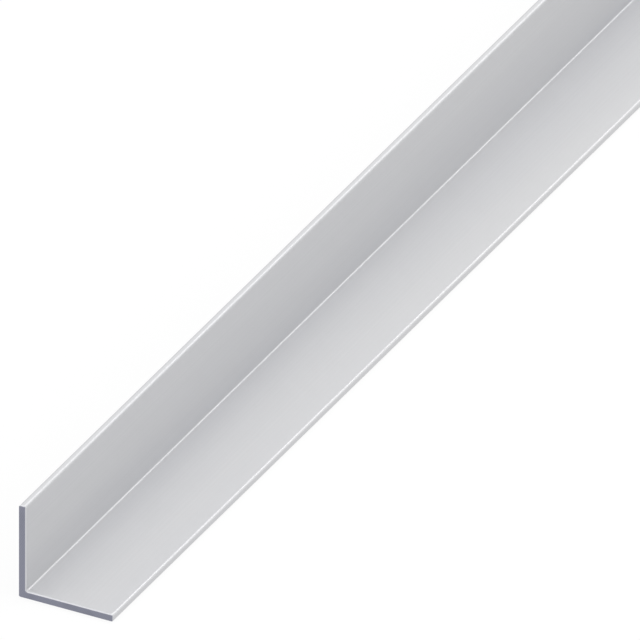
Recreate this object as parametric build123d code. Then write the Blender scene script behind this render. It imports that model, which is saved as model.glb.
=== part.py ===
from build123d import *
import os

# Equal-leg aluminium angle: one extruded bar, cut square at both ends.
# The bar lies along X on its foot, the leg that rests on the floor. Its back is
# the upright leg, on the +Y side, so the open side of the angle faces -Y.
# Origin: on the floor, under the middle of the bar's outer box. Millimetres.

# Driving dimensions
BAR_LENGTH = 1000.0
FOOT_WIDTH = 20.0  # heel to toe, along Y
BACK_HEIGHT = 20.0  # floor to top edge, along Z
WALL = 1.5  # thickness of both legs
HEEL_ROUND = 0.3  # outer corner where the two legs meet
ROOT_FILLET = 0.3  # inner corner where the two legs meet
EDGE_ROUND = 0.5  # the long edges of each leg's free side, at most a full round
END_BREAK = 0.2  # 45 degree facet filed on the sawn ends, on all but their two outer edges

# Where the faces lie, worked out from the sizes above
HEEL_Y = FOOT_WIDTH / 2
TOE_Y = -FOOT_WIDTH / 2
INNER_Y = HEEL_Y - WALL


def round_corners(section, corners, radius):
    """Round the section's corner at each of the given points."""
    picked = [section.vertices().sort_by_distance(corner)[0] for corner in corners]
    return fillet(picked, radius)


def square_section():
    """The two legs and the fillet between them, in local Y and Z."""
    section = make_face(
        Polyline(
            (HEEL_Y, 0),
            (HEEL_Y, BACK_HEIGHT),
            (INNER_Y, BACK_HEIGHT),
            (INNER_Y, WALL),
            (TOE_Y, WALL),
            (TOE_Y, 0),
            close=True,
        )
    )
    return round_corners(section, [(INNER_Y, WALL)], ROOT_FILLET)


def die_section():
    """The section as the die leaves it, with its outer corners rounded too."""
    top_edges = [(HEEL_Y, BACK_HEIGHT), (INNER_Y, BACK_HEIGHT)]
    toe_edges = [(TOE_Y, WALL), (TOE_Y, 0)]
    edge_round = min(EDGE_ROUND, WALL / 2)
    section = round_corners(square_section(), top_edges + toe_edges, edge_round)
    return round_corners(section, [(HEEL_Y, 0)], HEEL_ROUND)


def bar_of(section):
    """A bar of the given section, run out both ways from the middle."""
    return extrude(Plane.YZ * section, amount=BAR_LENGTH / 2, both=True)


def sawn_bar():
    """The extruded bar, kept to what the file leaves at its two sawn ends."""
    filed = bar_of(square_section())
    rims = filed.faces().filter_by(Axis.X).edges()
    outer_rims = rims.group_by(Axis.Y)[-1] + rims.group_by(Axis.Z)[0]
    opened_rims = [edge for edge in rims if edge not in outer_rims]
    return bar_of(die_section()) & chamfer(opened_rims, END_BREAK)


os.makedirs("parts", exist_ok=True)
export_step(sawn_bar(), "parts/angle_section.step")
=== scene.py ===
from math import pi, radians

import bmesh
import bpy
from mathutils import Euler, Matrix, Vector


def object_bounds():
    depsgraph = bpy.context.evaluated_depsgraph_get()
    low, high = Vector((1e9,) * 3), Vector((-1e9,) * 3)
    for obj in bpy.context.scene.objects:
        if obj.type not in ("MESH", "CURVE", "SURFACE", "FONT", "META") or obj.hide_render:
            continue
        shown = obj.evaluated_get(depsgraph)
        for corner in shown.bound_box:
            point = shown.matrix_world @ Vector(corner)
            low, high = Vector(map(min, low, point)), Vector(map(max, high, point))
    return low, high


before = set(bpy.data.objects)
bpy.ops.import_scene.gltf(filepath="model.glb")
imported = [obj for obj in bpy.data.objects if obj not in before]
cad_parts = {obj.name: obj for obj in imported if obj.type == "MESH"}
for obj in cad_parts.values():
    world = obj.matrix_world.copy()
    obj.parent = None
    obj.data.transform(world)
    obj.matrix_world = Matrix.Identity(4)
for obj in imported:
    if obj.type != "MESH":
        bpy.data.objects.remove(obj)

cad_low, cad_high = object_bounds()


# ---- The bar ---------------------------------------------------------------
# One length of extruded aluminium angle, etched to a satin and anodised silver
# after extrusion. It was then sawn square, so the cut ends are bare metal with
# the blade's marks, and a file has broken their rims, bar the two outer edges.
# The cut ends' dark blue-grey colour is painted shade: bare sawn aluminium is
# bright, and the ends are darkened as if they faced away from the light.

SILVER_PALE = (0.628, 0.630, 0.638, 1)
SILVER_DEEP = (0.602, 0.605, 0.619, 1)
FILED = (0.600, 0.605, 0.630, 1)
# The sawn ends' colours are painted shade, far darker and bluer than bare sawn aluminium, as if the
# ends faced away from the light. The blade's arcs and the smears vary them.
SAWN_PALE_PAINTED_SHADE = (0.332, 0.341, 0.412, 1)
SAWN_DARK_PAINTED_SHADE = (0.226, 0.233, 0.290, 1)
SAWN_SMEARED_PAINTED_SHADE = (0.200, 0.208, 0.250, 1)

# Each pattern's cells per metre, along the bar and across it.
DIE_LINES = (0.7, 2600.0)
ETCHED_GRAIN = (9000.0, 9000.0)
TONE_PATCHES = (4.0, 70.0)
CHIP_SMEARS = (160.0, 160.0)
DIE_LINE_DETAIL = 3.0  # finer layers of noise over the first
PLAIN_DETAIL = 2.0

# A pattern's values keep to the middle of 0 to 1. At the first of these two it has
# its least effect, and at the second its most.
FINE_SPAN = (0.3, 0.7)
PATCH_SPAN = (0.35, 0.65)
SMEAR_SPAN = (0.50, 0.70)
SMEAR_COVER = 0.6  # how much of the sawn tone the heaviest smear hides

# The blade turned on an axis in line with the bar, below and behind it.
SAW_AXIS = (0.0, 0.055, -0.110)
FEED_PITCH = 0.00028  # metres from one of its marks to the next
FEED_WOBBLE = 1.6
WAVE_RATE = 20.0  # radians that the wave texture turns in a metre, at a scale of 1

DIE_ROUGHNESS = (0.48, 0.56)
ETCH_ROUGHNESS = (-0.02, 0.02)  # on top of the die lines' own
FEED_ROUGHNESS = (0.62, 0.50)  # from the bottom of a feed mark to its crest
FILED_ROUGHNESS = 0.30

RELIEF = 0.00002  # metres
RELIEF_STRENGTH = 0.12
DIE_LINE_SHARE = 0.6  # of the relief on the long faces; the etched grain has the rest

# How far a face turns towards the bar's length: 0 on its long faces, 0.7 on the
# filed facets and 1 on the sawn ends. These spans lie between them.
LONG_TO_FILED = (0.3, 0.5)
FILED_TO_SAWN = (0.8, 0.9)


def empty_tree(owner):
    """The node tree of a material or a world, cleared for its own nodes."""
    owner.use_nodes = True
    owner.node_tree.nodes.clear()
    return owner.node_tree


def feed(socket, value):
    """Give a node's input a plain value, or link another node's output to it."""
    if isinstance(value, bpy.types.NodeSocket):
        tree.links.new(value, socket)
    else:
        socket.default_value = value


def add(kind, inputs=None, **settings):
    """A node of the tree in hand, with its inputs fed and its properties set."""
    node = tree.nodes.new(kind)
    for name, value in settings.items():
        setattr(node, name, value)
    for name, value in (inputs or {}).items():
        feed(node.inputs[name], value)
    return node


def arithmetic(operation, first, second=0.0):
    """One Math node on outputs or plain numbers."""
    return add("ShaderNodeMath", {0: first, 1: second}, operation=operation).outputs[0]


def ramp(value, span, onto=(0.0, 1.0)):
    """Value carried from one span onto another, and held at the ends."""
    limits = dict(zip(("From Min", "From Max", "To Min", "To Max"), span + onto))
    return add("ShaderNodeMapRange", {"Value": value, **limits}, clamp=True).outputs["Result"]


def blend(mask, first, second, kind="Color"):
    """First colour or number where the mask is 0, second where it is 1."""
    node = add("ShaderNodeMix", data_type={"Color": "RGBA", "Float": "FLOAT"}[kind])
    sockets = {socket.identifier: socket for socket in [*node.inputs, *node.outputs]}
    feed(sockets["Factor_Float"], mask)
    feed(sockets["A_" + kind], first)
    feed(sockets["B_" + kind], second)
    return sockets["Result_" + kind]


def pattern(cells, detail=PLAIN_DETAIL):
    """Noise on the bar's own coordinates, with these cells along and across it."""
    along, across = cells
    stretch = {"Vector": place.outputs["Object"], "Scale": (along, across, across)}
    stretched = add("ShaderNodeMapping", stretch).outputs["Vector"]
    noise = {"Vector": stretched, "Scale": 1.0, "Detail": detail}
    return add("ShaderNodeTexNoise", noise).outputs["Fac"]


silver = bpy.data.materials.new("silver_anodised_satin")
tree = empty_tree(silver)
place = add("ShaderNodeTexCoord")

die_lines = pattern(DIE_LINES, DIE_LINE_DETAIL)
etch = pattern(ETCHED_GRAIN)
patches = pattern(TONE_PATCHES)
smears = pattern(CHIP_SMEARS)

shift = {"Vector": place.outputs["Object"], "Location": [-c for c in SAW_AXIS]}
rings = {
    "Vector": add("ShaderNodeMapping", shift).outputs["Vector"],
    "Scale": 2 * pi / (WAVE_RATE * FEED_PITCH),
    "Distortion": FEED_WOBBLE,
    "Detail": PLAIN_DETAIL,
}
arcs = add("ShaderNodeTexWave", rings, wave_type="RINGS", rings_direction="X").outputs["Fac"]

facing = add("ShaderNodeSeparateXYZ", {"Vector": place.outputs["Normal"]})
endwise = arithmetic("ABSOLUTE", facing.outputs["X"])
at_end = ramp(endwise, LONG_TO_FILED)
sawn = ramp(endwise, FILED_TO_SAWN)

silver_tone = blend(ramp(patches, PATCH_SPAN), SILVER_PALE, SILVER_DEEP)
# Painted shade: the sawn ends get a dark blue-grey tone that stands in for their facing away from
# the light. The arcs and smears on it are the blade's real marks.
sawn_tone_painted_shade = blend(arcs, SAWN_DARK_PAINTED_SHADE, SAWN_PALE_PAINTED_SHADE)
sawn_tone_painted_shade = blend(ramp(smears, SMEAR_SPAN, (0.0, SMEAR_COVER)), sawn_tone_painted_shade, SAWN_SMEARED_PAINTED_SHADE)
tone = blend(at_end, silver_tone, blend(sawn, FILED, sawn_tone_painted_shade))

die_rough = ramp(die_lines, FINE_SPAN, DIE_ROUGHNESS)
silver_rough = arithmetic("ADD", die_rough, ramp(etch, FINE_SPAN, ETCH_ROUGHNESS))
sawn_rough = ramp(arcs, (0.0, 1.0), FEED_ROUGHNESS)
end_rough = blend(sawn, FILED_ROUGHNESS, sawn_rough, "Float")
rough = blend(at_end, silver_rough, end_rough, "Float")

die_height = arithmetic("MULTIPLY", die_lines, DIE_LINE_SHARE)
etch_height = arithmetic("MULTIPLY", etch, 1 - DIE_LINE_SHARE)
height = blend(at_end, arithmetic("ADD", die_height, etch_height), arcs, "Float")
relief = add("ShaderNodeBump", {"Strength": RELIEF_STRENGTH, "Distance": RELIEF, "Height": height})

metal = {"Base Color": tone, "Metallic": 1.0, "Roughness": rough, "Normal": relief.outputs["Normal"]}
shader = add("ShaderNodeBsdfPrincipled", metal)
add("ShaderNodeOutputMaterial", {"Surface": shader.outputs["BSDF"]})

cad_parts["angle_section"].material_slots[0].material = silver


# ---- The floor -------------------------------------------------------------
# A plain white sheet that the bar lies on. It shows white to the eye and in the
# metal, and keeps part of its own shading, so the bar's shadow stays.

FLOOR_HALF = 30.0  # metres from its middle to an edge
FLOOR_WHITE = (0.85, 0.85, 0.85, 1)
PLAIN_WHITE = (1, 1, 1, 1)
WHITE_SHARE = 0.88  # how much of its look is plain white; its own shading is the rest

shape = bmesh.new()
bmesh.ops.create_grid(shape, x_segments=1, y_segments=1, size=FLOOR_HALF)
floor_mesh = bpy.data.meshes.new("floor")
shape.to_mesh(floor_mesh)
shape.free()
floor = bpy.data.objects.new("floor", floor_mesh)
bpy.context.scene.collection.objects.link(floor)

paper = bpy.data.materials.new("white_floor")
tree = empty_tree(paper)
rays = add("ShaderNodeLightPath").outputs
seen = arithmetic("MAXIMUM", rays["Is Camera Ray"], rays["Is Glossy Ray"])
seen = arithmetic("MAXIMUM", seen, rays["Is Transmission Ray"])
share = arithmetic("MULTIPLY", seen, WHITE_SHARE)
matt = add("ShaderNodeBsdfDiffuse", {"Color": FLOOR_WHITE})
white = add("ShaderNodeEmission", {"Color": PLAIN_WHITE, "Strength": 1.0})
# The two inputs for shaders share one name, so all three go by number.
mixed = add("ShaderNodeMixShader", {0: share, 1: matt.outputs[0], 2: white.outputs[0]})
add("ShaderNodeOutputMaterial", {"Surface": mixed.outputs[0]})
floor_mesh.materials.append(paper)


# ---- The light -------------------------------------------------------------
# A soft studio: an even white surround and four panels. The far one draws the
# bright lines on the long edges, and one before the foot fills the inside corner.
# One almost overhead lifts the foot, and a weak one helps from the near end.

SURROUND = 1.0
PANEL_AWAY = 2.2  # metres from the origin
PANELS = {
    "overhead_panel": {"towards": (0.3, 0.1, 0.95), "size": 1.0, "watts": 4.4},
    "far_panel": {"towards": (0.5, -0.17, 0.85), "size": 1.0, "watts": 8.0},
    "foot_panel": {"towards": (0.0, -0.8, 0.6), "size": 1.0, "watts": 7.0},
    "near_panel": {"towards": (-0.51, 0.40, 0.76), "size": 0.5, "watts": 1.8},
}

for name, panel in PANELS.items():
    lamp = bpy.data.lights.new(name, "AREA")
    lamp.shape = "SQUARE"
    lamp.size = panel["size"]
    lamp.energy = panel["watts"]
    stand = bpy.data.objects.new(name, lamp)
    towards = Vector(panel["towards"]).normalized()
    stand.location = towards * PANEL_AWAY
    stand.rotation_euler = towards.to_track_quat("Z", "Y").to_euler()
    bpy.context.scene.collection.objects.link(stand)

world = bpy.data.worlds.new("studio")
bpy.context.scene.world = world
tree = empty_tree(world)
surround = add("ShaderNodeBackground", {"Color": PLAIN_WHITE, "Strength": SURROUND})
add("ShaderNodeOutputWorld", {"Surface": surround.outputs[0]})


# ---- The camera ------------------------------------------------------------
# Level across, turned well to the bar's side and looking down on it, with no
# perspective. The near end's heel sits close to the picture's lower left.

AZIMUTH = radians(-62.203)
ELEVATION = radians(30.921)
CAMERA_AWAY = 1.0  # makes no difference in a view with no perspective
VIEW_WIDTH = 0.119849
HEEL_LEFT_OF_MIDDLE = 0.056376
HEEL_BELOW_MIDDLE = 0.051754

# The picture's own directions are the turned axes.
turn = Euler((pi / 2 - ELEVATION, 0.0, AZIMUTH))
right, up, back = turn.to_matrix().transposed()

near_heel = Vector((cad_low.x, cad_high.y, cad_low.z))
middle = near_heel + right * HEEL_LEFT_OF_MIDDLE + up * HEEL_BELOW_MIDDLE

lens = bpy.data.cameras.new("camera")
lens.type = "ORTHO"
lens.ortho_scale = VIEW_WIDTH
camera = bpy.data.objects.new("camera", lens)
camera.rotation_euler = turn
camera.location = middle + back * CAMERA_AWAY
bpy.context.scene.collection.objects.link(camera)
bpy.context.scene.camera = camera
bpy.context.scene.view_settings.view_transform = "Standard"
